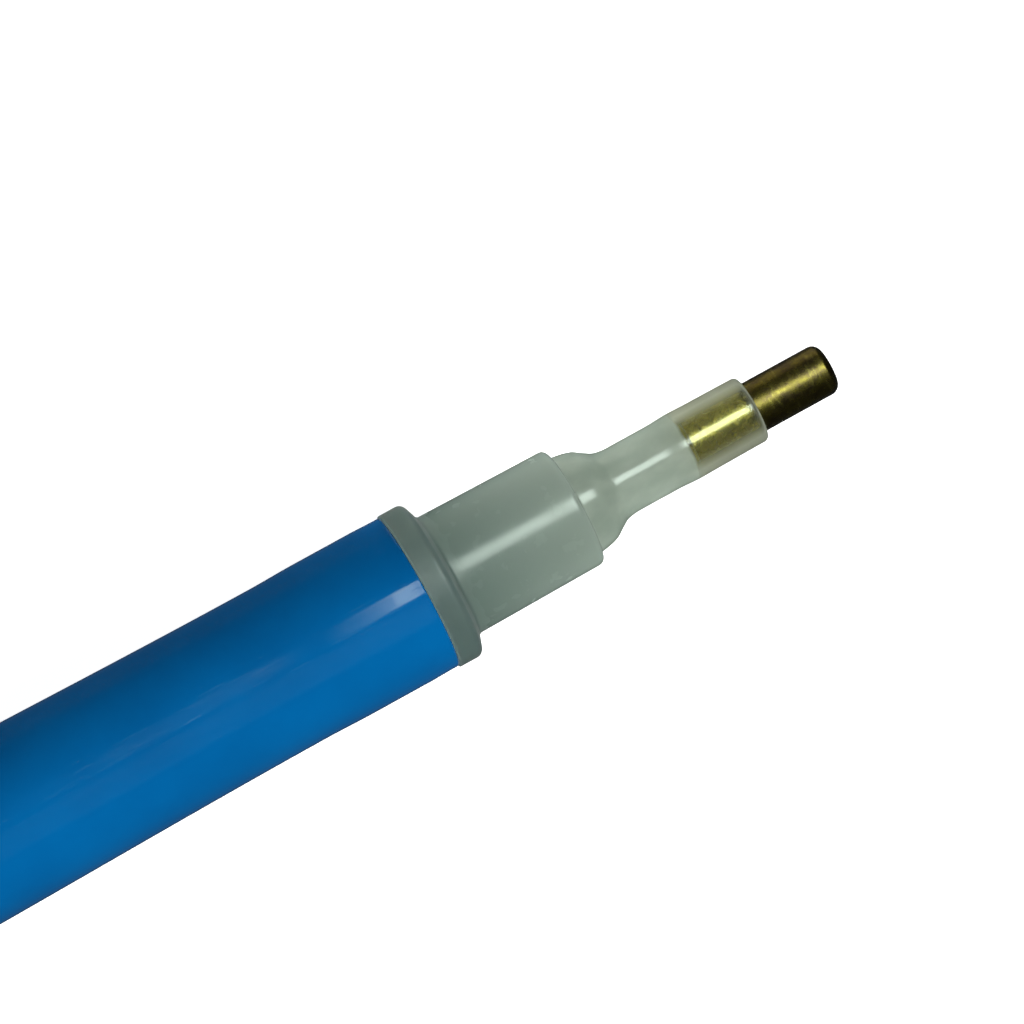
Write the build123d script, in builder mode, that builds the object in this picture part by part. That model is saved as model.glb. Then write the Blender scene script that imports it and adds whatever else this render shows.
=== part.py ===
"""Pen-type hand probe: a slim tubular handle with a translucent push-in nose that carries a short brass tip.

Lengths are in millimetres. The probe lies along X with its tip towards +X. The origin is on the axis, in the
middle of the handle's straight grip section.
"""

import os

from build123d import *

# Barrel, a thin tube that flares gently from its front towards the grip
grip_radius = 4.25
grip_half_length = 30.0
front_x = 62.0              # front end of the barrel, where the nose flange seats
rear_x = -66.0              # rear end of the barrel, where the end plug seats
barrel_bore_radius = 3.2
waist_radius = 3.96         # slimmest place, just behind the nose spigot
waist_back = 7.0            # how far the waist lies behind the front end
swell_radius = 4.0          # the wall stands out a little over the spigot's ribs
swell_back = 4.6            # the swell's rear and front ends, from the front end
swell_front = 1.6
mouth_radius = 3.975
rear_end_radius = 4.0
barrel_edge = 0.12

# Spigot and flange, alike on both plugs
spigot_length = 6.0
spigot_radius = 3.0
spigot_chamfer = 0.35
rib_radius = 3.16           # 0.04 under the bore, for a push fit
rib_width = 0.7
rib_pitch = 1.8
rib_first = 1.1             # first rib, from the barrel's end
rib_count = 3
flange_radius = 4.06
flange_rim = 1.22           # length of the flange at its rim
flange_rake = 0.34          # the front face leans this much further forward at its root
flange_edge = 0.4
flange_root = 0.22

# Nose body, in front of the flange
body_length = 8.48          # from the barrel's end to the body's front face
body_rear_radius = 3.12
body_front_radius = 3.04
body_edge = 0.32
body_bore_radius = 2.1      # seat of the nozzle's root

# Nozzle, a thin moulded tube: root, dome, neck and the sleeve that grips the pin.
# Stations are distances from the barrel's end, each with its outer radius.
root_start = 2.4
root_chamfer = 0.3
dome_radius = 2.54
shoulder_station, shoulder_radius = 9.5, 2.345
slope_station, slope_radius = 10.0, 2.03
foot_station, foot_radius = 10.45, 1.775
neck_start, neck_end = 11.2, 13.2
neck_radius = 1.69
bulge_station, bulge_radius = 14.35, 1.74      # the tube is stretched over the pin's rear edge
sleeve_start, sleeve_end = 15.4, 18.2
sleeve_radius = 1.72
lip_radius = 1.69
lip_edge = 0.26
root_bore_radius = 1.65
throat_start, throat_end = 9.6, 11.0           # where the bore narrows to the neck's
neck_bore_radius = 1.24
socket_radius = 1.31        # the sleeve's bore

# Brass tip
pin_radius = 1.28
pin_start, pin_end = 14.39, 22.38
pin_nose = 0.48
pin_chamfer = 0.28
seat_gap = 0.01             # between the pin's chamfer and the neck's step that stops it

# Rear plug's button
button_radius = 3.1
button_length = 1.9
button_edge = 0.8
pocket_radius = 2.1         # moulding pocket inside the rear plug's spigot
pocket_depth = 5.2

near = 0.01                 # half-width of the bands used to pick edges by place

os.makedirs("parts", exist_ok=True)

# Ribbed spigot shared by both plugs: it stands on the YZ plane and reaches towards +X
with BuildPart() as ribbed_spigot:
    with BuildSketch(Plane.XZ):
        with BuildLine():
            Polyline(
                (0, 0),
                (0, spigot_radius),
                (spigot_length - spigot_chamfer, spigot_radius),
                (spigot_length, spigot_radius - spigot_chamfer),
                (spigot_length, 0),
                close=True,
            )
        make_face()
        for n in range(rib_count):
            rib_x = rib_first + n * rib_pitch
            rib_foot = rib_x - rib_width / 2, spigot_radius
            rib_toe = rib_x + rib_width / 2, spigot_radius
            with BuildLine():
                crest = ThreePointArc(rib_foot, (rib_x, rib_radius), rib_toe)
                Polyline(crest @ 1, (rib_toe[0], 0), (rib_foot[0], 0), crest @ 0)
            make_face()
    revolve(axis=Axis.X)

# Barrel
with BuildPart() as barrel:
    level = ((1, 0), (1, 0))
    with BuildSketch(Plane.XZ):
        with BuildLine():
            tail = Line((rear_x, rear_end_radius), (-grip_half_length, grip_radius))
            grip = Line(tail @ 1, (grip_half_length, grip_radius))
            flare = Spline(grip @ 1, (front_x - waist_back, waist_radius), tangents=level)
            rise = Spline(flare @ 1, (front_x - swell_back, swell_radius), tangents=level)
            swell = Line(rise @ 1, (front_x - swell_front, swell_radius))
            mouth = Spline(swell @ 1, (front_x, mouth_radius), tangents=((1, 0), (1, -0.03)))
            Polyline(
                mouth @ 1,
                (front_x, barrel_bore_radius),
                (rear_x, barrel_bore_radius),
                tail @ 0,
            )
        make_face()
    revolve(axis=Axis.X)
    rings = barrel.edges().filter_by(GeomType.CIRCLE).group_by(Axis.X)
    fillet(rings[0] + rings[-1], barrel_edge)
    barrel.part.label = "barrel"

# Nose plug: ribbed spigot, flange and hollow body
with BuildPart() as nose_plug:
    body_start = front_x + flange_rim + flange_rake
    body_end = front_x + body_length
    with Locations((front_x, 0, 0)):
        add(ribbed_spigot.part, rotation=(0, 180, 0))
    with BuildSketch(Plane.XZ):
        with BuildLine():
            Polyline(
                (front_x, 0),
                (front_x, flange_radius),
                (front_x + flange_rim, flange_radius),
                (body_start, body_rear_radius),
                (body_end, body_front_radius),
                (body_end, 0),
                close=True,
            )
        make_face()
    revolve(axis=Axis.X)
    rings = nose_plug.edges().filter_by(GeomType.CIRCLE)
    rim = rings.filter_by_position(Axis.X, front_x + flange_rim - near, front_x + flange_rim + near)
    root = rings.filter_by_position(Axis.X, body_start - near, body_start + near)
    fillet(rim, flange_edge)
    fillet(root, flange_root)
    fillet(rings.sort_by(Axis.X)[-1], body_edge)
    with Locations(Plane.YZ.offset(body_end)):
        Hole(body_bore_radius, depth=body_length + spigot_length)
    nose_plug.part.label = "nose_plug"

# Nozzle: its root is pressed into the nose body, and its sleeve grips the pin
with BuildPart() as nozzle:
    lip_x = front_x + sleeve_end
    stop_x = front_x + pin_start + neck_bore_radius - (pin_radius - pin_chamfer) - seat_gap
    with BuildSketch(Plane.XZ):
        with BuildLine():
            dome = Spline(
                (body_end, dome_radius),
                (front_x + shoulder_station, shoulder_radius),
                (front_x + slope_station, slope_radius),
                (front_x + foot_station, foot_radius),
                (front_x + neck_start, neck_radius),
                tangents=((1, -0.12), (1, 0)),
            )
            neck = Line(dome @ 1, (front_x + neck_end, neck_radius))
            bulge = Spline(
                neck @ 1,
                (front_x + bulge_station, bulge_radius),
                (front_x + sleeve_start, sleeve_radius),
                tangents=((1, 0), (1, 0)),
            )
            Polyline(
                bulge @ 1,
                (lip_x, lip_radius),
                (lip_x, socket_radius),
                (stop_x, socket_radius),
                (stop_x, neck_bore_radius),
                (front_x + throat_end, neck_bore_radius),
                (front_x + throat_start, root_bore_radius),
                (front_x + root_start, root_bore_radius),
                (front_x + root_start, body_bore_radius - root_chamfer),
                (front_x + root_start + root_chamfer, body_bore_radius),
                (body_end, body_bore_radius),
                dome @ 0,
            )
        make_face()
    revolve(axis=Axis.X)
    rings = nozzle.edges().filter_by(GeomType.CIRCLE)
    lip = rings.filter_by_position(Axis.X, lip_x - near, lip_x + near)
    fillet(lip.sort_by(SortBy.RADIUS)[-1], lip_edge)
    nozzle.part.label = "nozzle"

# Brass tip: plain turned pin with a rounded nose
with BuildPart() as brass_tip:
    with BuildSketch(Plane.YZ.offset(front_x + pin_start)):
        Circle(pin_radius)
    extrude(amount=pin_end - pin_start)
    fillet(brass_tip.edges().sort_by(Axis.X)[-1], pin_nose)
    chamfer(brass_tip.edges().sort_by(Axis.X)[0], pin_chamfer)
    brass_tip.part.label = "brass_tip"

# Rear plug: the same spigot and flange, closed with a low rounded button
with BuildPart() as rear_plug:
    rim_x = rear_x - flange_rim
    with Locations((rear_x, 0, 0)):
        add(ribbed_spigot.part)
    with BuildSketch(Plane.YZ.offset(rear_x)):
        Circle(flange_radius)
    extrude(amount=-flange_rim)
    with BuildSketch(Plane.YZ.offset(rim_x)):
        Circle(button_radius)
    extrude(amount=-button_length)
    rings = rear_plug.edges().filter_by(GeomType.CIRCLE)
    shoulder = rings.filter_by_position(Axis.X, rim_x - near, rim_x + near).sort_by(SortBy.RADIUS)
    fillet(shoulder[-1], flange_edge)
    fillet(shoulder[0], flange_root)
    fillet(rings.sort_by(Axis.X)[0], button_edge)
    with Locations(Plane.YZ.offset(rear_x + spigot_length)):
        Hole(pocket_radius, depth=pocket_depth)
    rear_plug.part.label = "rear_plug"

for piece in (barrel, nose_plug, nozzle, brass_tip, rear_plug):
    export_step(piece.part, f"parts/{piece.part.label}.step")
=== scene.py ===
# Pen-type hand probe on a pale studio floor. Sizes in the dictionaries are in millimetres.
import math

import bmesh
import bpy
from mathutils import Matrix, Vector


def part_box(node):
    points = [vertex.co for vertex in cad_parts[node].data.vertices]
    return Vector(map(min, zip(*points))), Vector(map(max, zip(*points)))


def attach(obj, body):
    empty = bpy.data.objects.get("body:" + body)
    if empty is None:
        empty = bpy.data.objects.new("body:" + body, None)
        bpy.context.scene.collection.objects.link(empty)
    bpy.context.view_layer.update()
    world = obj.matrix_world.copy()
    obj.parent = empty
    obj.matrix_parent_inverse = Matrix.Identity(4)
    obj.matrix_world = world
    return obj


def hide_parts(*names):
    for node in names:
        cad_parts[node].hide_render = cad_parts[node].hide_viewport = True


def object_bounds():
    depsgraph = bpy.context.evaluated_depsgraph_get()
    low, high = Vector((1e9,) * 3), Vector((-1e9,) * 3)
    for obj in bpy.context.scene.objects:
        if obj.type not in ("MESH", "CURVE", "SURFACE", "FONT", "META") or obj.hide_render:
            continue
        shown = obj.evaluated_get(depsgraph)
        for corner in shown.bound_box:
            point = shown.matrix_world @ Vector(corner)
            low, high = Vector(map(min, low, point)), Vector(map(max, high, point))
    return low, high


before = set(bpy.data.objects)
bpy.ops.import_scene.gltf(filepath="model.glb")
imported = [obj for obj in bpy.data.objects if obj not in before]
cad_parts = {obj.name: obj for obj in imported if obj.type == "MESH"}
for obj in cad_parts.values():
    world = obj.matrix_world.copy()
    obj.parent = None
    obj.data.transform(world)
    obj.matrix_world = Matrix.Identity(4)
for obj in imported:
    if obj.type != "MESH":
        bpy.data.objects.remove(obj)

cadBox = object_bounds()
mm = 0.001
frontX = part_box("barrel")[1].x / mm   # the barrel's two ends, which the other pieces are placed from
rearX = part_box("barrel")[0].x / mm


def linearColour(code):
    channels = [int(code[i:i + 2], 16) / 255 for i in (1, 3, 5)]
    return [c / 12.92 if c <= 0.04045 else ((c + 0.055) / 1.055) ** 2.4 for c in channels] + [1.0]


def addNode(tree, kind, inputs=None, **settings):
    node = tree.nodes.new(kind)
    for name, value in settings.items():
        setattr(node, name, value)
    for name, value in (inputs or {}).items():
        if isinstance(value, bpy.types.Node):       # a node stands for its first output in use
            value = next(socket for socket in value.outputs if socket.enabled)
        if isinstance(value, bpy.types.NodeSocket):
            tree.links.new(value, node.inputs[name])
        elif isinstance(value, str):                # a hex colour
            node.inputs[name].default_value = linearColour(value)
        else:
            node.inputs[name].default_value = value
    return node


# camera: almost straight above, rolled so that the probe points up to the right

cameraSettings = dict(
    azimuth=-29.4, elevation=77.6,      # degrees
    lens=200, distance=269.5,
    aimAhead=5.72, aimAside=1.18,       # the aim point, ahead of the barrel's end and off the axis
)


def makeCamera(s):
    a, e = math.radians(s["azimuth"]), math.radians(s["elevation"])
    back = Vector((math.sin(a) * math.cos(e), -math.cos(a) * math.cos(e), math.sin(e)))
    across = back.cross(Vector((1, 0, 0))).normalized()     # square to the axis, in the picture
    aim = Vector((frontX + s["aimAhead"], 0, 0)) + across * s["aimAside"]
    camera = bpy.data.objects.new("camera", bpy.data.cameras.new("camera"))
    camera.data.lens = s["lens"]
    camera.data.clip_start = 0.01
    camera.location = (aim + back * s["distance"]) * mm
    camera.rotation_euler = (-back).to_track_quat("-Z", "Y").to_euler()
    bpy.context.scene.collection.objects.link(camera)
    bpy.context.scene.camera = camera
    return back


towardsCamera = makeCamera(cameraSettings)
print("camera placed")

# studio: a pale sweep that glows like a light table, a softbox and a weak far card that show only in the
# gloss, and a broad key and a bounce from the far side that light only the matt colour

sweepSettings = dict(
    radius=1800, wallHeight=1500, curveRadius=700, segments=96, curveSteps=12,
    colour="#f4f5f4", glow=0.95,
    worldColour="#e3ebee", worldStrength=0.07,
)
# the tent is what shows through the clear and cloudy pieces: brighter underneath, and on the far side
tentSettings = dict(radius=1500, colour="#f2f8f0", glowBelow=0.85, glowAbove=0.35, farGain=0.2)
# rear and tip are the light's two ends along the probe, from the barrel's end
lightSettings = dict(
    softbox=dict(distance=500, towardsTop=5.0, rear=40, tip=420, width=176, watts=2.75,
                 colour="#effff5", seenIn="gloss"),
    key=dict(distance=700, towardsTop=-29.0, rear=-300, tip=300, width=420, watts=5.7,
             colour="#ffffff", seenIn="colour"),
    bounce=dict(distance=600, towardsTop=115.0, rear=-120, tip=480, width=340, watts=2.4,
                colour="#ffffff", seenIn="colour"),
    # two small cards held close to the nose lift its upper and lower edges and leave the barrel alone
    upperCard=dict(distance=9, towardsTop=110.0, rear=4, tip=19, width=8, watts=0.00206,
                   colour="#ffffff", seenIn="colour"),
    lowerCard=dict(distance=9, towardsTop=-110.0, rear=4, tip=16, width=8, watts=0.00118,
                   colour="#ffffff", seenIn="colour"),
    farCard=dict(distance=600, towardsTop=98.0, rear=85, tip=450, width=480, watts=0.56,
                 colour="#fffbe8", seenIn="gloss"),
)


def addLight(name, s):
    axis = Vector((1, 0, 0))
    facing = (towardsCamera - axis * towardsCamera.x).normalized()   # square to the probe's axis
    top = facing.cross(axis)
    if top.y < 0:
        top.negate()
    side = math.radians(s["towardsTop"])
    outward = facing * math.cos(side) + top * math.sin(side)
    data = bpy.data.lights.new(name, "AREA")
    data.shape = "RECTANGLE"
    data.size, data.size_y = (s["tip"] - s["rear"]) * mm, s["width"] * mm
    data.energy = s["watts"]
    data.color = linearColour(s["colour"])[:3]
    light = bpy.data.objects.new(name, data)
    light.location = (outward * s["distance"] + axis * (frontX + (s["tip"] + s["rear"]) / 2)) * mm
    light.rotation_euler = Matrix((axis, outward.cross(axis), outward)).transposed().to_euler()
    light.visible_camera = False
    light.visible_diffuse = s["seenIn"] == "colour"
    light.visible_glossy = s["seenIn"] == "gloss"
    light.visible_transmission = s["seenIn"] == "gloss"
    bpy.context.scene.collection.objects.link(light)


def makeSweep(s):
    level = cadBox[0].z
    rings = [(s["radius"] - s["curveRadius"], level / mm)]
    for n in range(1, s["curveSteps"] + 1):
        turn = math.radians(90 * n / s["curveSteps"])
        rings.append((s["radius"] - s["curveRadius"] * (1 - math.sin(turn)),
                      level / mm + s["curveRadius"] * (1 - math.cos(turn))))
    rings.append((s["radius"], level / mm + s["curveRadius"] + s["wallHeight"]))
    count = s["segments"]
    points = [(0, 0, level)]
    for r, z in rings:
        for k in range(count):
            angle = 2 * math.pi * k / count
            points.append((r * mm * math.cos(angle), r * mm * math.sin(angle), z * mm))
    faces = [(0, 1 + k, 1 + (k + 1) % count) for k in range(count)]
    for i in range(len(rings) - 1):
        a, b = 1 + i * count, 1 + (i + 1) * count
        faces += [(a + k, b + k, b + (k + 1) % count, a + (k + 1) % count) for k in range(count)]
    mesh = bpy.data.meshes.new("paperSweep")
    mesh.from_pydata(points, [], faces)
    sweep = bpy.data.objects.new("paperSweep", mesh)
    paper = bpy.data.materials.new("backlitPaper")
    paper.use_nodes = True
    shade = paper.node_tree.nodes["Principled BSDF"].inputs
    shade["Base Color"].default_value = linearColour(s["colour"])
    shade["Roughness"].default_value = 0.9
    shade["Emission Color"].default_value = linearColour("#ffffff")
    shade["Emission Strength"].default_value = s["glow"]
    mesh.materials.append(paper)
    bpy.context.scene.collection.objects.link(sweep)
    keepOnly(sweep, camera=True)


def keepOnly(thing, camera=False, transmission=False):
    thing.visible_camera = camera
    thing.visible_transmission = transmission
    thing.visible_diffuse = False
    thing.visible_glossy = False
    thing.visible_shadow = False


def makeTent(s):
    ball = bmesh.new()
    bmesh.ops.create_icosphere(ball, subdivisions=4, radius=s["radius"] * mm)
    mesh = bpy.data.meshes.new("tent")
    ball.to_mesh(mesh)
    ball.free()
    tent = bpy.data.objects.new("tent", mesh)
    cloth = bpy.data.materials.new("litTentCloth")
    cloth.use_nodes = True
    tree = cloth.node_tree
    tree.nodes.clear()
    place = addNode(tree, "ShaderNodeTexCoord").outputs["Object"]
    split = addNode(tree, "ShaderNodeSeparateXYZ", {0: place})
    reach = s["radius"] * mm
    level = addNode(tree, "ShaderNodeMapRange", {
        "Value": split.outputs["Z"], "From Min": -reach, "From Max": reach,
        "To Min": s["glowBelow"], "To Max": s["glowAbove"]})
    gain = addNode(tree, "ShaderNodeMapRange", {
        "Value": split.outputs["Y"], "From Min": -reach, "From Max": reach,
        "To Min": -s["farGain"], "To Max": s["farGain"]})
    strength = addNode(tree, "ShaderNodeMath", {0: level, 1: gain})
    glow = addNode(tree, "ShaderNodeEmission", {"Color": s["colour"], "Strength": strength})
    addNode(tree, "ShaderNodeOutputMaterial", {"Surface": glow})
    mesh.materials.append(cloth)
    bpy.context.scene.collection.objects.link(tent)
    keepOnly(tent, transmission=True)


def makeStudio(s):
    world = bpy.data.worlds.new("studio")
    world.use_nodes = True
    shade = world.node_tree.nodes["Background"]
    shade.inputs["Color"].default_value = linearColour(s["worldColour"])
    shade.inputs["Strength"].default_value = s["worldStrength"]
    bpy.context.scene.world = world
    bpy.context.scene.view_settings.view_transform = "Standard"
    makeSweep(s)
    makeTent(tentSettings)
    for name, settings in lightSettings.items():
        addLight(name, settings)


makeStudio(sweepSettings)
print("studio lit")

# outlines: a piece's half section, as (distance along the axis, radius) pairs


def smoothRun(stations, startSlope=0.0, endSlope=0.0, steps=10):
    slopes = [startSlope]
    for before, here, after in zip(stations, stations[1:], stations[2:]):
        slopes.append((after[1] - before[1]) / (after[0] - before[0]))
    slopes.append(endSlope)
    run = []
    for i in range(len(stations) - 1):
        (x0, r0), (x1, r1) = stations[i], stations[i + 1]
        span = x1 - x0
        for n in range(steps + (i == len(stations) - 2)):
            t = n / steps
            run.append((
                x0 + t * span,
                r0 * (2 * t**3 - 3 * t**2 + 1) + slopes[i] * span * (t**3 - 2 * t**2 + t)
                + r1 * (3 * t**2 - 2 * t**3) + slopes[i + 1] * span * (t**3 - t**2),
            ))
    return run


def roundCorner(before, corner, after, radius, steps=7, hold=0.02):
    corner = Vector(corner)
    inward = (Vector(before) - corner).normalized()
    outward = (Vector(after) - corner).normalized()
    half = inward.angle(outward) / 2
    reach = radius / math.tan(half)
    centre = corner + (inward + outward).normalized() * radius / math.sin(half)
    start, end = corner + inward * reach - centre, corner + outward * reach - centre
    turn = start.angle_signed(end)
    arc = [centre + Matrix.Rotation(-turn * n / steps, 2) @ start for n in range(steps + 1)]
    # a close station each side keeps the long faces flat in the shading
    arc.insert(0, corner + inward * (reach + hold))
    arc.append(corner + outward * (reach + hold))
    return [tuple(p) for p in arc]


def outline(parts):
    # parts holds plain stations (x, r), corners to round (x, r, rounding) and whole smooth runs
    flat = []
    for part in parts:
        flat.extend(part if isinstance(part, list) else [part])
    count = len(flat)
    points = []
    for i, station in enumerate(flat):
        if len(station) == 3:
            points.extend(roundCorner(flat[i - 1][:2], station[:2], flat[(i + 1) % count][:2], station[2]))
        else:
            points.append(tuple(station))
    return points


# one tree turns every outline about the axis, with the slight unevenness of a moulded or turned surface


def makeTurningTree():
    tree = bpy.data.node_groups.new("turnedForm", "GeometryNodeTree")
    face = tree.interface
    face.new_socket("Geometry", in_out="INPUT", socket_type="NodeSocketGeometry")
    for name, kind in (("Segments", "Int"), ("Ripple Height", "Float"), ("Ripple Size", "Float"),
                       ("Seed", "Float"), ("Material", "Material")):
        face.new_socket(name, in_out="INPUT", socket_type="NodeSocket" + kind)
    face.new_socket("Geometry", in_out="OUTPUT", socket_type="NodeSocketGeometry")
    given = addNode(tree, "NodeGroupInput").outputs

    # the outline goes round a circle as its profile, and each point keeps its station and its turn
    section = addNode(tree, "GeometryNodeMeshToCurve", {"Mesh": given["Geometry"]})
    keepPlace = addNode(tree, "GeometryNodeCaptureAttribute", {"Geometry": section})
    keepPlace.capture_items.new("VECTOR", "Station")
    position = addNode(tree, "GeometryNodeInputPosition").outputs["Position"]
    tree.links.new(position, keepPlace.inputs["Station"])
    ring = addNode(tree, "GeometryNodeCurvePrimitiveCircle", {
        "Resolution": given["Segments"], "Radius": 0.01})
    keepTurn = addNode(tree, "GeometryNodeCaptureAttribute", {"Geometry": ring})
    keepTurn.capture_items.new("FLOAT", "Turn")
    along = addNode(tree, "GeometryNodeSplineParameter").outputs["Factor"]
    tree.links.new(along, keepTurn.inputs["Turn"])
    swept = addNode(tree, "GeometryNodeCurveToMesh", {
        "Curve": keepTurn.outputs["Geometry"], "Profile Curve": keepPlace.outputs["Geometry"]})

    angle = addNode(tree, "ShaderNodeMath", {
        0: keepTurn.outputs["Turn"], 1: 2 * math.pi}, operation="MULTIPLY")
    cosine = addNode(tree, "ShaderNodeMath", {0: angle}, operation="COSINE")
    sine = addNode(tree, "ShaderNodeMath", {0: angle}, operation="SINE")
    station = addNode(tree, "ShaderNodeSeparateXYZ", {0: keepPlace.outputs["Station"]}).outputs
    y = addNode(tree, "ShaderNodeMath", {0: station["Z"], 1: cosine}, operation="MULTIPLY")
    z = addNode(tree, "ShaderNodeMath", {0: station["Z"], 1: sine}, operation="MULTIPLY")
    turned = addNode(tree, "ShaderNodeCombineXYZ", {"X": station["X"], "Y": y, "Z": z})
    # ripple: pushes each point out or in by a little smooth noise, less at small radii
    closeness = addNode(tree, "ShaderNodeMath", {0: 1.0, 1: given["Ripple Size"]}, operation="DIVIDE")
    noise = addNode(tree, "ShaderNodeTexNoise", {
        "Vector": turned, "W": given["Seed"], "Scale": closeness, "Detail": 1.0}, noise_dimensions="4D")
    centred = addNode(tree, "ShaderNodeMath", {0: noise, 1: 0.5}, operation="SUBTRACT")
    nearAxis = addNode(tree, "ShaderNodeMapRange", {"Value": station["Z"], "From Max": mm})
    share = addNode(tree, "ShaderNodeMath", {0: centred, 1: nearAxis}, operation="MULTIPLY")
    push = addNode(tree, "ShaderNodeMath", {0: share, 1: given["Ripple Height"]}, operation="MULTIPLY")
    outwards = addNode(tree, "ShaderNodeCombineXYZ", {"X": 0.0, "Y": cosine, "Z": sine})
    offset = addNode(tree, "ShaderNodeVectorMath", {0: outwards, "Scale": push}, operation="SCALE")
    placed = addNode(tree, "GeometryNodeSetPosition", {
        "Geometry": swept, "Position": turned, "Offset": offset})
    closed = addNode(tree, "GeometryNodeMergeByDistance", {"Geometry": placed, "Distance": 1e-6})
    outside = addNode(tree, "GeometryNodeFlipFaces", {"Mesh": closed})
    smooth = addNode(tree, "GeometryNodeSetShadeSmooth", {"Geometry": outside})
    real = addNode(tree, "GeometryNodeRealizeInstances", {"Geometry": smooth})
    finish = addNode(tree, "GeometryNodeSetMaterial", {"Geometry": real, "Material": given["Material"]})
    addNode(tree, "NodeGroupOutput", {"Geometry": finish})
    return tree


turningTree = makeTurningTree()


def turnPiece(name, points, closed, settings, material):
    sketch = bpy.data.meshes.new(name + "Outline")
    edges = [(i, i + 1) for i in range(len(points) - 1)]
    if closed:
        edges.append((len(points) - 1, 0))
    sketch.from_pydata([(x * mm, 0, r * mm) for x, r in points], edges, [])
    carrier = bpy.data.objects.new(name + "Outline", sketch)
    bpy.context.scene.collection.objects.link(carrier)
    turning = carrier.modifiers.new("turning", "NODES")
    turning.node_group = turningTree
    values = {"Segments": settings["segments"], "Ripple Height": settings["ripple"] * mm,
              "Ripple Size": settings["rippleSize"] * mm, "Seed": settings["seed"], "Material": material}
    for socket in turningTree.interface.items_tree:
        if socket.name in values:
            turning[socket.identifier] = values[socket.name]
    bpy.context.view_layer.update()
    evaluated = carrier.evaluated_get(bpy.context.evaluated_depsgraph_get())
    mesh = bpy.data.meshes.new_from_object(evaluated)
    mesh.name = name
    bpy.data.objects.remove(carrier)
    bpy.data.meshes.remove(sketch)
    piece = bpy.data.objects.new(name, mesh)
    bpy.context.scene.collection.objects.link(piece)
    return piece


def newMaterial(name):
    # also gives its tree and the place on the piece in millimetres, for patterns sized in millimetres
    material = bpy.data.materials.new(name)
    material.use_nodes = True
    tree = material.node_tree
    tree.nodes.clear()
    onPiece = addNode(tree, "ShaderNodeTexCoord").outputs["Object"]
    place = addNode(tree, "ShaderNodeMapping", {"Vector": onPiece, "Scale": (1 / mm, 1 / mm, 1 / mm)})
    return material, tree, place


# moulded ABS: even deep blue with a satin gloss, a faint orange peel and hairline handling scratches
bluePlastic = dict(
    deep="#005f9e", light="#0065a6", cloudSize=5.0,
    specular=0.2, roughness=(0.07, 0.1), smudgeSize=3.0, smudgeLength=2.5,    # length is in widths
    peelSize=0.9, peelDepth=0.0006,
    scratchWidth=0.05, scratchLength=60, scratchDepth=0.0012,                 # length is in widths
)


def mouldedBluePlastic(s):
    material, tree, place = newMaterial("mouldedBlueABS")
    cloud = addNode(tree, "ShaderNodeTexNoise", {"Vector": place, "Scale": 1 / s["cloudSize"], "Detail": 3.0})
    lightness = addNode(tree, "ShaderNodeMapRange", {"Value": cloud, "From Min": 0.35, "From Max": 0.65})
    colour = addNode(tree, "ShaderNodeMix", {0: lightness, 6: s["deep"], 7: s["light"]}, data_type="RGBA")
    lengthways = addNode(tree, "ShaderNodeMapping", {"Vector": place, "Scale": (1 / s["smudgeLength"], 1, 1)})
    smudge = addNode(tree, "ShaderNodeTexNoise", {
        "Vector": lengthways, "Scale": 1 / s["smudgeSize"], "Detail": 5.0})
    gloss = addNode(tree, "ShaderNodeMapRange", {
        "Value": smudge, "From Min": 0.3, "From Max": 0.7,
        "To Min": s["roughness"][0], "To Max": s["roughness"][1]})
    dimples = addNode(tree, "ShaderNodeTexNoise", {
        "Vector": place, "Scale": 1 / s["peelSize"], "Detail": 2.0})
    peel = addNode(tree, "ShaderNodeBump", {
        "Height": dimples, "Strength": 1.0, "Distance": s["peelDepth"] * mm})
    drawnOut = addNode(tree, "ShaderNodeMapping", {"Vector": place, "Scale": (1 / s["scratchLength"], 1, 1)})
    hair = addNode(tree, "ShaderNodeTexNoise", {
        "Vector": drawnOut, "Scale": 1 / s["scratchWidth"], "Detail": 1.0})
    marks = addNode(tree, "ShaderNodeMapRange", {"Value": hair, "From Min": 0.68, "From Max": 0.74})
    scratches = addNode(tree, "ShaderNodeBump", {
        "Height": marks, "Strength": 1.0, "Distance": -s["scratchDepth"] * mm, "Normal": peel})
    shade = addNode(tree, "ShaderNodeBsdfPrincipled", {
        "Base Color": colour, "Roughness": gloss, "Normal": scratches, "Specular IOR Level": s["specular"]})
    addNode(tree, "ShaderNodeOutputMaterial", {"Surface": shade})
    return material


# cloudy plastic: the surface's own colour mixed with light that comes through from behind, under a gloss


def cloudySkin(tree, s, colour, glow, gloss, normal):
    front = addNode(tree, "ShaderNodeBsdfPrincipled", {
        "Base Color": colour, "Roughness": gloss, "Normal": normal, "Specular IOR Level": 0.0})
    behind = addNode(tree, "ShaderNodeBsdfTranslucent", {"Color": glow, "Normal": normal})
    cloud = addNode(tree, "ShaderNodeMixShader", {0: s["through"], 1: front, 2: behind})
    # gloss that strengthens edge on, the same from inside the wall as from outside
    edgeOn = addNode(tree, "ShaderNodeLayerWeight", {"Blend": 0.5, "Normal": normal}).outputs["Facing"]
    steep = addNode(tree, "ShaderNodeMath", {0: edgeOn, 1: 5.0}, operation="POWER")
    shine = addNode(tree, "ShaderNodeMapRange", {"Value": steep, "To Min": s["shine"], "To Max": 1.0})
    mirror = addNode(tree, "ShaderNodeBsdfAnisotropic", {
        "Color": "#ffffff", "Roughness": gloss, "Normal": normal})
    return addNode(tree, "ShaderNodeMixShader", {0: shine, 1: cloud, 2: mirror})


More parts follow.
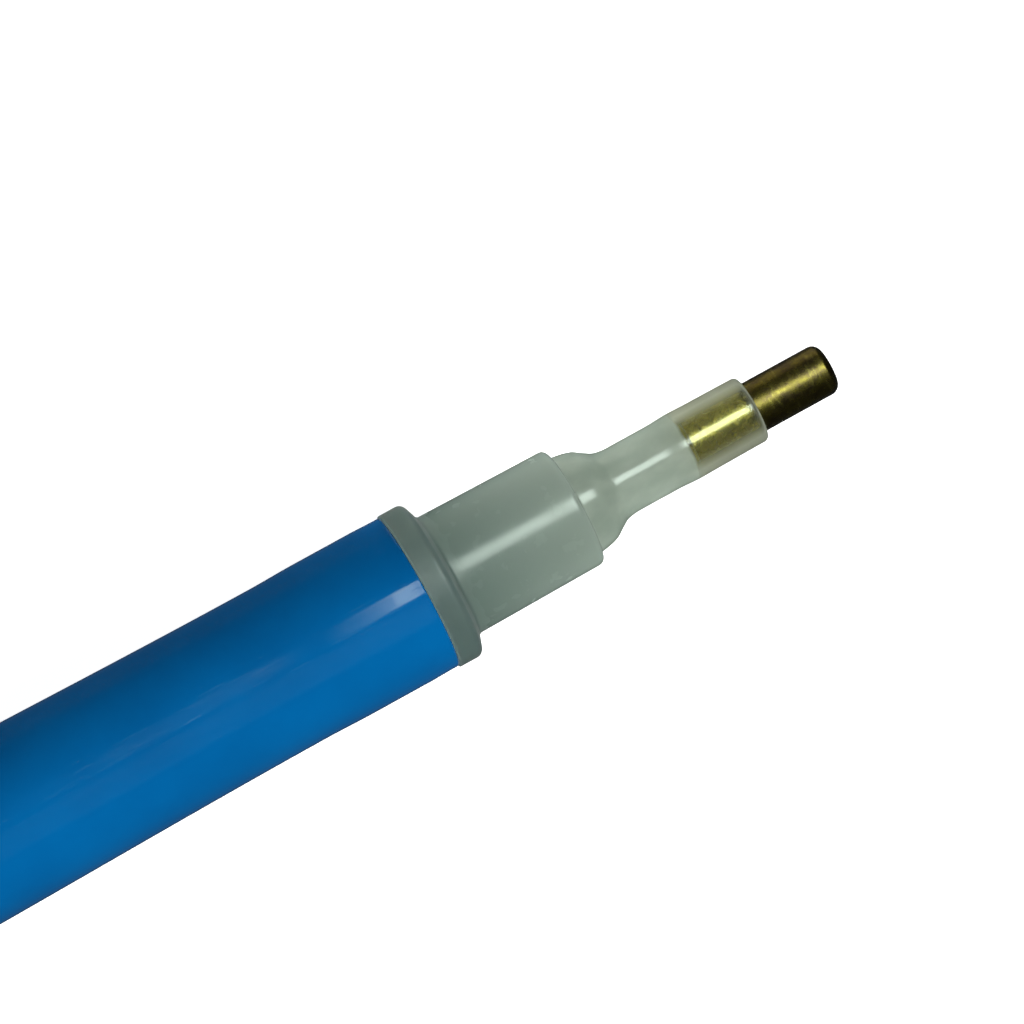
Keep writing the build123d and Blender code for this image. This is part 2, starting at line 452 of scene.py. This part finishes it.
# moulded polypropylene, undyed: grey-green and cloudy, with a waxy gloss; painted shade darkens it towards
# the flange and painted light makes it paler towards its thin front edge
frostedPlastic = dict(
    # painted shade and painted blue light: the flange is darker and bluer than the body, where the solid plug
    # sits in the blue barrel
    flange="#31525b", flangeEnds=(1.3, 1.7),        # where its colour fades out, from the barrel's end
    # painted shade and light: deep and glowDeep darken the rear of the body, and pale and glowPale lighten
    # its front, over the span at the end of this line
    deep="#758882", pale="#84958c", glowDeep="#d2ded9", glowPale="#f0f6f1", paintedLightEnds=(1.5, 7.5),
    patch="#7c8d84", patchSize=1.8, patchShare=0.4,
    through=0.74,       # share of the light that comes through from behind
    shine=0.038,        # mirrored straight on, as at an index of 1.49
    roughness=(0.19, 0.29), smudgeSize=0.8, rimRoughness=0.25, rimEnds=(1.2, 2.2),
    grainSize=0.12, grainDepth=0.0009, waveSize=1.6, waveDepth=0.006,
)


def frostedPolypropylene(s):
    material, tree, place = newMaterial("frostedPolypropylene")
    # painted shade and painted light: darker at the flange and the rear of the body, where less light comes
    # through the solid plug, and paler towards the thin front edge, in the colour and in the light let
    # through
    split = addNode(tree, "ShaderNodeSeparateXYZ", {0: place})
    reach = addNode(tree, "ShaderNodeMath", {0: split.outputs["X"]}, operation="ABSOLUTE")
    flangeShadeFade = addNode(tree, "ShaderNodeMapRange", {
        "Value": reach, "From Min": frontX + s["flangeEnds"][0], "From Max": frontX + s["flangeEnds"][1]})
    paintedThroughLight = addNode(tree, "ShaderNodeMapRange", {
        "Value": reach, "From Min": frontX + s["paintedLightEnds"][0], "From Max": frontX + s["paintedLightEnds"][1]})
    body = addNode(tree, "ShaderNodeMix", {0: paintedThroughLight, 6: s["deep"], 7: s["pale"]}, data_type="RGBA")
    # painted shade: the darker, bluer flange colour fades into the body colour over flangeEnds
    base = addNode(tree, "ShaderNodeMix", {0: flangeShadeFade, 6: s["flange"], 7: body}, data_type="RGBA")
    cloud = addNode(tree, "ShaderNodeTexNoise", {"Vector": place, "Scale": 1 / s["patchSize"], "Detail": 3.0})
    patches = addNode(tree, "ShaderNodeMapRange", {
        "Value": cloud, "From Min": 0.35, "From Max": 0.75, "To Max": s["patchShare"]})
    colour = addNode(tree, "ShaderNodeMix", {0: patches, 6: base, 7: s["patch"]}, data_type="RGBA")
    glow = addNode(tree, "ShaderNodeMix", {0: paintedThroughLight, 6: s["glowDeep"], 7: s["glowPale"]}, data_type="RGBA")
    # duller round the flange's rim than on the body
    smudge = addNode(tree, "ShaderNodeTexNoise", {
        "Vector": place, "Scale": 1 / s["smudgeSize"], "Detail": 4.0})
    waxy = addNode(tree, "ShaderNodeMapRange", {
        "Value": smudge, "From Min": 0.3, "From Max": 0.7,
        "To Min": s["roughness"][0], "To Max": s["roughness"][1]})
    rim = addNode(tree, "ShaderNodeMapRange", {
        "Value": reach, "From Min": frontX + s["rimEnds"][0], "From Max": frontX + s["rimEnds"][1],
        "To Min": s["rimRoughness"], "To Max": 0.0})
    gloss = addNode(tree, "ShaderNodeMath", {0: waxy, 1: rim}, operation="ADD")
    # the slow sink marks of moulding, and a fine grain on them
    sink = addNode(tree, "ShaderNodeTexNoise", {"Vector": place, "Scale": 1 / s["waveSize"], "Detail": 1.0})
    wave = addNode(tree, "ShaderNodeBump", {"Height": sink, "Strength": 1.0, "Distance": s["waveDepth"] * mm})
    pits = addNode(tree, "ShaderNodeTexNoise", {"Vector": place, "Scale": 1 / s["grainSize"], "Detail": 2.0})
    grain = addNode(tree, "ShaderNodeBump", {
        "Height": pits, "Strength": 1.0, "Distance": s["grainDepth"] * mm, "Normal": wave})
    skin = cloudySkin(tree, s, colour, glow, gloss, grain)
    addNode(tree, "ShaderNodeOutputMaterial", {"Surface": skin})
    return material


# moulded silicone rubber: clear where it is stretched thin over the pin, cloudy where the wall is thick
softRubber = dict(
    milk="#86958b", paleMilk="#bac6ba", cloudSize=0.9, cloudLength=1.6,       # length is in widths
    milkOnPin="#a4a894", glow="#edf2ec", clear="#cbceb4", clearIor=1.42,
    through=0.72, shine=0.034, roughness=(0.13, 0.2), smudgeSize=0.6,
    milkEnds=(14.3, 14.5), raggedSize=0.7, ragged=0.03,      # where the milk gives way, from the barrel's end
    lipStarts=(17.75, 18.15), lipMilk=0.45,
    filmTurns=(0.11, 0.42), filmMilk=(0.04, 0.85),           # surface film, seen straight on and edge on
    waveSize=1.2, waveDepth=0.003,
)


def milkySilicone(s):
    material, tree, place = newMaterial("milkySilicone")
    # how milky the wall is along the nozzle, with a slightly ragged change at the pin's rear end
    split = addNode(tree, "ShaderNodeSeparateXYZ", {0: place})
    rough = addNode(tree, "ShaderNodeTexNoise", {
        "Vector": place, "Scale": 1 / s["raggedSize"], "Detail": 3.0})
    shift = addNode(tree, "ShaderNodeMapRange", {
        "Value": rough, "From Min": 0.3, "From Max": 0.7, "To Min": -s["ragged"], "To Max": s["ragged"]})
    station = addNode(tree, "ShaderNodeMath", {0: split.outputs["X"], 1: shift}, operation="ADD")
    milkiness = addNode(tree, "ShaderNodeMapRange", {
        "Value": station, "From Min": frontX + s["milkEnds"][0], "From Max": frontX + s["milkEnds"][1],
        "To Min": 1.0, "To Max": 0.0})
    lip = addNode(tree, "ShaderNodeMapRange", {
        "Value": station, "From Min": frontX + s["lipStarts"][0], "From Max": frontX + s["lipStarts"][1],
        "To Max": s["lipMilk"]})
    edgeOn = addNode(tree, "ShaderNodeLayerWeight", {"Blend": 0.5}).outputs["Facing"]
    film = addNode(tree, "ShaderNodeMapRange", {
        "Value": edgeOn, "From Min": s["filmTurns"][0], "From Max": s["filmTurns"][1],
        "To Min": s["filmMilk"][0], "To Max": s["filmMilk"][1]})
    thick = addNode(tree, "ShaderNodeMath", {0: milkiness, 1: lip}, operation="MAXIMUM")
    haze = addNode(tree, "ShaderNodeMath", {0: thick, 1: film}, operation="MAXIMUM")
    smudge = addNode(tree, "ShaderNodeTexNoise", {
        "Vector": place, "Scale": 1 / s["smudgeSize"], "Detail": 4.0})
    gloss = addNode(tree, "ShaderNodeMapRange", {
        "Value": smudge, "From Min": 0.3, "From Max": 0.7,
        "To Min": s["roughness"][0], "To Max": s["roughness"][1]})
    sink = addNode(tree, "ShaderNodeTexNoise", {"Vector": place, "Scale": 1 / s["waveSize"], "Detail": 1.0})
    wave = addNode(tree, "ShaderNodeBump", {"Height": sink, "Strength": 1.0, "Distance": s["waveDepth"] * mm})
    lengthways = addNode(tree, "ShaderNodeMapping", {"Vector": place, "Scale": (1 / s["cloudLength"], 1, 1)})
    cloud = addNode(tree, "ShaderNodeTexNoise", {
        "Vector": lengthways, "Scale": 1 / s["cloudSize"], "Detail": 3.0})
    paleness = addNode(tree, "ShaderNodeMapRange", {"Value": cloud, "From Min": 0.42, "From Max": 0.72})
    wall = addNode(tree, "ShaderNodeMix", {0: paleness, 6: s["milk"], 7: s["paleMilk"]}, data_type="RGBA")
    milk = addNode(tree, "ShaderNodeMix", {0: milkiness, 6: s["milkOnPin"], 7: wall}, data_type="RGBA")
    cloudy = cloudySkin(tree, s, milk, s["glow"], gloss, wave)
    clear = addNode(tree, "ShaderNodeBsdfPrincipled", {
        "Base Color": s["clear"], "Roughness": gloss, "Normal": wave, "IOR": s["clearIor"],
        "Transmission Weight": 1.0})
    skin = addNode(tree, "ShaderNodeMixShader", {0: haze, 1: clear, 2: cloudy})
    addNode(tree, "ShaderNodeOutputMaterial", {"Surface": skin})
    return material


# turned brass: clean and yellow where the sleeve covers it, brown and mottled where it is handled,
# with fine rings round the axis that draw its highlight out along the pin
brassFinish = dict(
    clean="#c8b76a", handledFrom=(17.75, 18.05), raggedSize=0.5, ragged=0.25,     # from the barrel's end
    tarnish="#605626", stain="#4a3f28", stainSize=0.45, stainLength=2, stainRoughness=0.65,
    rubbed="#877d40", rubbedSize=0.3, rubbedWidth=3, rubbedShare=0.6,
    roughness=(0.24, 0.3), smudgeSize=0.4, anisotropy=0.7,
    ringPitch=0.07, ringDepth=0.0008,      # coarser than the tool marks on a real pin, so that they show
    ringWidth=1000,                        # in pitches: far longer than the way round the pin
)


def turnedBrass(s):
    material, tree, place = newMaterial("turnedBrass")
    # clean under the sleeve, handled ahead of it
    split = addNode(tree, "ShaderNodeSeparateXYZ", {0: place})
    rough = addNode(tree, "ShaderNodeTexNoise", {
        "Vector": place, "Scale": 1 / s["raggedSize"], "Detail": 3.0})
    shift = addNode(tree, "ShaderNodeMapRange", {
        "Value": rough, "From Min": 0.3, "From Max": 0.7, "To Min": -s["ragged"], "To Max": s["ragged"]})
    station = addNode(tree, "ShaderNodeMath", {0: split.outputs["X"], 1: shift}, operation="ADD")
    handled = addNode(tree, "ShaderNodeMapRange", {
        "Value": station, "From Min": frontX + s["handledFrom"][0], "From Max": frontX + s["handledFrom"][1]})
    # brown tarnish with darker stains, rubbed through in small spots
    lengthways = addNode(tree, "ShaderNodeMapping", {"Vector": place, "Scale": (1 / s["stainLength"], 1, 1)})
    blotch = addNode(tree, "ShaderNodeTexNoise", {
        "Vector": lengthways, "Scale": 1 / s["stainSize"], "Detail": 4.0, "Roughness": s["stainRoughness"]})
    stained = addNode(tree, "ShaderNodeMapRange", {"Value": blotch, "From Min": 0.4, "From Max": 0.62})
    dark = addNode(tree, "ShaderNodeMix", {0: stained, 6: s["tarnish"], 7: s["stain"]}, data_type="RGBA")
    narrow = 1 / s["rubbedWidth"]
    crossways = addNode(tree, "ShaderNodeMapping", {"Vector": place, "Scale": (1, narrow, narrow)})
    spots = addNode(tree, "ShaderNodeTexNoise", {
        "Vector": crossways, "Scale": 1 / s["rubbedSize"], "Detail": 5.0})
    worn = addNode(tree, "ShaderNodeMapRange", {
        "Value": spots, "From Min": 0.56, "From Max": 0.7, "To Max": s["rubbedShare"]})
    brown = addNode(tree, "ShaderNodeMix", {0: worn, 6: dark, 7: s["rubbed"]}, data_type="RGBA")
    colour = addNode(tree, "ShaderNodeMix", {0: handled, 6: s["clean"], 7: brown}, data_type="RGBA")
    smudge = addNode(tree, "ShaderNodeTexNoise", {
        "Vector": place, "Scale": 1 / s["smudgeSize"], "Detail": 4.0})
    gloss = addNode(tree, "ShaderNodeMapRange", {
        "Value": smudge, "From Min": 0.3, "From Max": 0.7,
        "To Min": s["roughness"][0], "To Max": s["roughness"][1]})
    flat = 1 / s["ringWidth"]
    roundPin = addNode(tree, "ShaderNodeMapping", {"Vector": place, "Scale": (1, flat, flat)})
    rings = addNode(tree, "ShaderNodeTexNoise", {
        "Vector": roundPin, "Scale": 1 / s["ringPitch"], "Detail": 2.0})
    turned = addNode(tree, "ShaderNodeBump", {
        "Height": rings, "Strength": 1.0, "Distance": s["ringDepth"] * mm})
    aroundAxis = addNode(tree, "ShaderNodeVectorMath", {
        0: (1.0, 0.0, 0.0), 1: place}, operation="CROSS_PRODUCT")
    shade = addNode(tree, "ShaderNodeBsdfPrincipled", {
        "Base Color": colour, "Metallic": 1.0, "Roughness": gloss, "Normal": turned,
        "Anisotropic": s["anisotropy"], "Tangent": aroundAxis})
    addNode(tree, "ShaderNodeOutputMaterial", {"Surface": shade})
    return material


plugPlastic = frostedPolypropylene(frostedPlastic)

# barrel: a thin tube, straight at the grip, slimmer at the waist and standing out a little over the spigot

barrel = dict(
    gripRadius=4.25, gripHalf=30, waistRadius=3.96, waistBack=7.0, swellRadius=4.0, swellBack=4.6,
    swellFront=1.6, mouthBack=0.3, mouthRadius=3.975, rearRadius=4.0, boreRadius=3.2, edge=0.12,
    segments=160, ripple=0.003, rippleSize=8, seed=1.0,
)


def makeBarrel(s):
    waist = (frontX - s["waistBack"], s["waistRadius"])
    flare = smoothRun([(s["gripHalf"], s["gripRadius"]), waist], steps=24)
    rise = smoothRun([waist, (frontX - s["swellBack"], s["swellRadius"])])
    mouth = (frontX - s["mouthBack"], s["mouthRadius"])
    fall = smoothRun([(frontX - s["swellFront"], s["swellRadius"]), mouth])
    parts = [(rearX, s["rearRadius"], s["edge"]), (-s["gripHalf"], s["gripRadius"]), flare, rise[1:], fall,
             (frontX, s["mouthRadius"], s["edge"]), (frontX, s["boreRadius"], s["edge"]),
             (rearX, s["boreRadius"], s["edge"])]
    piece = turnPiece("blueBarrel", outline(parts), True, s, mouldedBluePlastic(bluePlastic))
    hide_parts("barrel")
    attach(piece, "handle")


makeBarrel(barrel)
print("barrel turned")

# spigot with ribs, shared by both plugs: from the barrel's end inwards

spigot = dict(
    length=6.0, radius=3.0, chamfer=0.35, rootEdge=0.05,
    ribRadius=3.16, ribWidth=0.7, ribPitch=1.8, ribFirst=1.1, ribCount=3, ribSteps=8,
)


def spigotRun(s):
    run = []
    for n in range(s["ribCount"]):
        middle = s["ribFirst"] + n * s["ribPitch"]
        for k in range(s["ribSteps"] + 1):
            t = k / s["ribSteps"] * 2 - 1
            height = (s["ribRadius"] - s["radius"]) * (1 - t * t)
            run.append((middle + t * s["ribWidth"] / 2, s["radius"] + height))
    run.append((s["length"] - s["chamfer"], s["radius"]))
    run.append((s["length"], s["radius"] - s["chamfer"]))
    return run


# nose plug: flange and drafted body in front of the barrel, spigot in it, and a bore right through

nosePlug = dict(
    flangeRadius=4.06, flangeRim=1.22, flangeRake=0.34, flangeEdge=0.4, flangeBack=0.06, flangeRoot=0.22,
    bodyLength=8.48, rearRadius=3.12, frontRadius=3.04, bodyEdge=0.32,
    boreRadius=2.1, boreFront=0.04, boreRear=0.05,
    segments=144, ripple=0.02, rippleSize=4, seed=2.0,
)


def makeNosePlug(s):
    root = s["flangeRim"] + s["flangeRake"]
    inside = [(frontX - x, r) for x, r in reversed(spigotRun(spigot))]
    end = frontX + s["bodyLength"]
    parts = [inside, (frontX, spigot["radius"], spigot["rootEdge"]),
             (frontX, s["flangeRadius"], s["flangeBack"]),
             (frontX + s["flangeRim"], s["flangeRadius"], s["flangeEdge"]),
             (frontX + root, s["rearRadius"], s["flangeRoot"]),
             (end, s["frontRadius"], s["bodyEdge"]), (end, s["boreRadius"], s["boreFront"]),
             (frontX - spigot["length"], s["boreRadius"], s["boreRear"])]
    piece = turnPiece("nosePlug", outline(parts), True, s, plugPlastic)
    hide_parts("nose_plug")
    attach(piece, "nose")


makeNosePlug(nosePlug)
print("nose plug turned")

# nozzle: its root in the nose plug, then dome, neck and sleeve. Pairs are (from the barrel's end, radius)

nozzle = dict(
    rootStart=2.4, rootRadius=2.09, rootChamfer=0.3,
    seat=8.48, seatGap=0.02, domeRadius=2.54,
    flare=0.12, flareSlope=-2.5, domeSlope=-0.12,       # a small fillet where the dome meets the nose body
    shoulder=(9.5, 2.345), slope=(10.0, 2.03), foot=(10.45, 1.775),
    neckStart=11.2, neckEnd=13.2, neckRadius=1.69, bulge=(14.35, 1.74),
    sleeveStart=15.4, sleeveRadius=1.72, lipEnd=18.2, lipRadius=1.69, lipEdge=0.26,
    socketRadius=1.31, socketEdge=0.03, stop=14.62, stopEdge=0.02,
    neckBore=1.24, throat=(9.6, 11.0), rootBore=1.65,
    segments=144, ripple=0.03, rippleSize=3, seed=3.0,
)


def makeNozzle(s):
    def at(pair):
        return frontX + pair[0], pair[1]
    domeStart = at((s["seat"] + s["flare"], s["domeRadius"]))
    neckStart, neckEnd = at((s["neckStart"], s["neckRadius"])), at((s["neckEnd"], s["neckRadius"]))
    flare = smoothRun([at((s["seat"] - s["seatGap"], s["domeRadius"] + s["flare"])), domeStart],
                      startSlope=s["flareSlope"], endSlope=s["domeSlope"], steps=5)
    dome = smoothRun([domeStart, at(s["shoulder"]), at(s["slope"]), at(s["foot"]), neckStart],
                     startSlope=s["domeSlope"])
    bulge = smoothRun([neckEnd, at(s["bulge"]), at((s["sleeveStart"], s["sleeveRadius"]))])
    throatStart, throatEnd = s["throat"]
    lip, stop, root = frontX + s["lipEnd"], frontX + s["stop"], frontX + s["rootStart"]
    parts = [(root, s["rootRadius"] - s["rootChamfer"]), (root + s["rootChamfer"], s["rootRadius"]),
             (frontX + s["seat"] - s["seatGap"], s["rootRadius"]), flare, dome[1:], bulge,
             (lip, s["lipRadius"], s["lipEdge"]), (lip, s["socketRadius"], s["socketEdge"]),
             (stop, s["socketRadius"], s["stopEdge"]), (stop, s["neckBore"], s["stopEdge"]),
             (frontX + throatEnd, s["neckBore"]), (frontX + throatStart, s["rootBore"]),
             (root, s["rootBore"], s["socketEdge"])]
    piece = turnPiece("clearNozzle", outline(parts), True, s, milkySilicone(softRubber))
    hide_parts("nozzle")
    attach(piece, "nose")


makeNozzle(nozzle)
print("nozzle turned")

# brass tip: a plain pin, chamfered where the nozzle hides it and rounded at its nose

brassTip = dict(
    start=14.39, end=22.38, radius=1.28, nose=0.48, chamfer=0.28, chamferEdge=0.04,
    segments=128, ripple=0.004, rippleSize=1.5, seed=4.0,
)


def makeBrassTip(s):
    start, end = frontX + s["start"], frontX + s["end"]
    parts = [(start, 0.0), (start, s["radius"] - s["chamfer"], s["chamferEdge"]),
             (start + s["chamfer"], s["radius"], s["chamferEdge"]),
             (end, s["radius"], s["nose"]), (end, 0.0)]
    piece = turnPiece("brassTip", outline(parts), False, s, turnedBrass(brassFinish))
    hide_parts("brass_tip")
    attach(piece, "tip")


makeBrassTip(brassTip)
print("brass tip turned")

# rear plug: the nose plug's flange and spigot again, with a button for a body and a blind pocket

rearPlug = dict(
    buttonRadius=3.1, buttonLength=1.9, buttonEdge=0.8,
    pocketRadius=2.1, pocketDepth=5.2, pocketEdge=0.05, pocketFloorEdge=0.1,
    segments=144, ripple=0.02, rippleSize=4, seed=5.0,
)


def makeRearPlug(s):
    f = nosePlug
    rim = rearX - f["flangeRim"]
    end = rim - s["buttonLength"]
    inside = [(rearX + x, r) for x, r in spigotRun(spigot)]
    floor = rearX + spigot["length"] - s["pocketDepth"]
    parts = [(end, 0.0), (end, s["buttonRadius"], s["buttonEdge"]), (rim, s["buttonRadius"], f["flangeRoot"]),
             (rim, f["flangeRadius"], f["flangeEdge"]), (rearX, f["flangeRadius"], f["flangeBack"]),
             (rearX, spigot["radius"], spigot["rootEdge"]), inside,
             (rearX + spigot["length"], s["pocketRadius"], s["pocketEdge"]),
             (floor, s["pocketRadius"], s["pocketFloorEdge"]), (floor, 0.0)]
    piece = turnPiece("rearPlug", outline(parts), False, s, plugPlastic)
    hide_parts("rear_plug")
    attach(piece, "end_plug")


makeRearPlug(rearPlug)
print("all pieces made")
